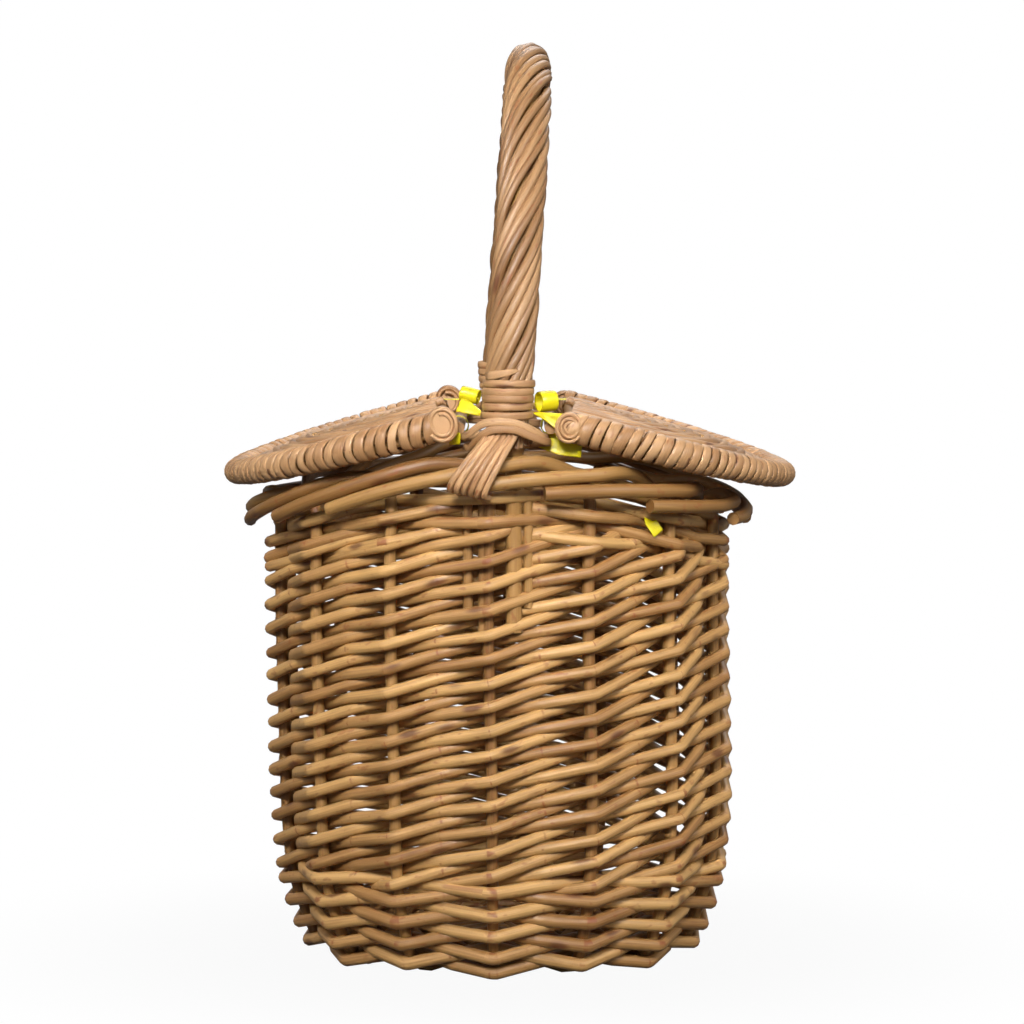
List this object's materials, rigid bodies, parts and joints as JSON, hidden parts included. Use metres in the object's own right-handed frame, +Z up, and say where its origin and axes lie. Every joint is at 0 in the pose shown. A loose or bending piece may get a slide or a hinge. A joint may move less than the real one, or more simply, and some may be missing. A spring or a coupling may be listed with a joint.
{
  "type": "lidded willow basket",
  "caption": "Round willow basket with a roped bow handle over it and two half-round lids that hinge beside the handle and open to both sides.",
  "frame": {"origin": "centre of the underside, on the surface that the basket stands on", "axes": "+Z up, +Y from the handle's front leg to its back leg, +X towards the right lid"},
  "size_m": [0.2844, 0.2652, 0.4526],
  "materials": {
    "stake_willow": "satin, brown willow rod",
    "weaver_willow": "satin, honey willow rod",
    "pale_willow": "satin, skeined willow",
    "core_willow": "satin, thick willow rod",
    "base_willow": "satin, thick willow stick",
    "yellow_ribbon": "glossy flat plastic ribbon"
  },
  "bodies": {
    "basket": {"base_sticks": "base_willow", "base_weaver_a": "weaver_willow", "base_weaver_b": "weaver_willow", "stake_01": "stake_willow", "stake_02": "stake_willow", "stake_03": "stake_willow", "stake_04": "stake_willow", "stake_05": "stake_willow", "stake_06": "stake_willow", "stake_07": "stake_willow", "stake_08": "stake_willow", "stake_09": "stake_willow", "stake_10": "stake_willow", "stake_11": "stake_willow", "stake_12": "stake_willow", "stake_13": "stake_willow", "stake_14": "stake_willow", "upsett_weaver_a": "weaver_willow", "upsett_weaver_b": "weaver_willow", "side_weaver_01": "weaver_willow", "side_weaver_02": "weaver_willow", "side_weaver_03": "weaver_willow", "side_weaver_04": "weaver_willow", "side_weaver_05": "weaver_willow", "side_weaver_06": "weaver_willow", "side_weaver_07": "weaver_willow", "side_weaver_08": "weaver_willow", "side_weaver_09": "weaver_willow", "side_weaver_10": "weaver_willow", "side_weaver_11": "weaver_willow", "side_weaver_12": "weaver_willow", "side_weaver_13": "weaver_willow", "side_weaver_14": "weaver_willow", "top_round_upper": "weaver_willow", "top_round_lower": "weaver_willow", "handle_core": "core_willow", "handle_roping": "pale_willow", "handle_binding_front": "pale_willow", "handle_binding_back": "pale_willow", "handle_tails_front": "pale_willow", "handle_tails_back": "pale_willow", "hinge_lashing_front": "pale_willow", "hinge_lashing_back": "pale_willow", "left_hinge_bar": "stake_willow", "right_hinge_bar": "stake_willow"},
    "left_lid": {"left_lid_bow": "core_willow", "left_lid_edge": "pale_willow", "left_lid_bar": "stake_willow", "left_lid_ribs": "stake_willow", "left_lid_weaver": "weaver_willow", "left_strap_front": "yellow_ribbon", "left_strap_back": "yellow_ribbon"},
    "right_lid": {"right_lid_bow": "core_willow", "right_lid_edge": "pale_willow", "right_lid_bar": "stake_willow", "right_lid_ribs": "stake_willow", "right_lid_weaver": "weaver_willow", "right_strap_front": "yellow_ribbon", "right_strap_back": "yellow_ribbon"}
  },
  "joints": [
    {"name": "left_lid_hinge", "type": "hinge", "parent": "basket", "child": "left_lid", "pos_m": [-0.022, 0, 0.268], "axis": [0, 1, 0], "range_deg": [0, 80]},
    {"name": "right_lid_hinge", "type": "hinge", "parent": "basket", "child": "right_lid", "pos_m": [0.022, 0, 0.268], "axis": [0, -1, 0], "range_deg": [0, 80]}
  ]
}
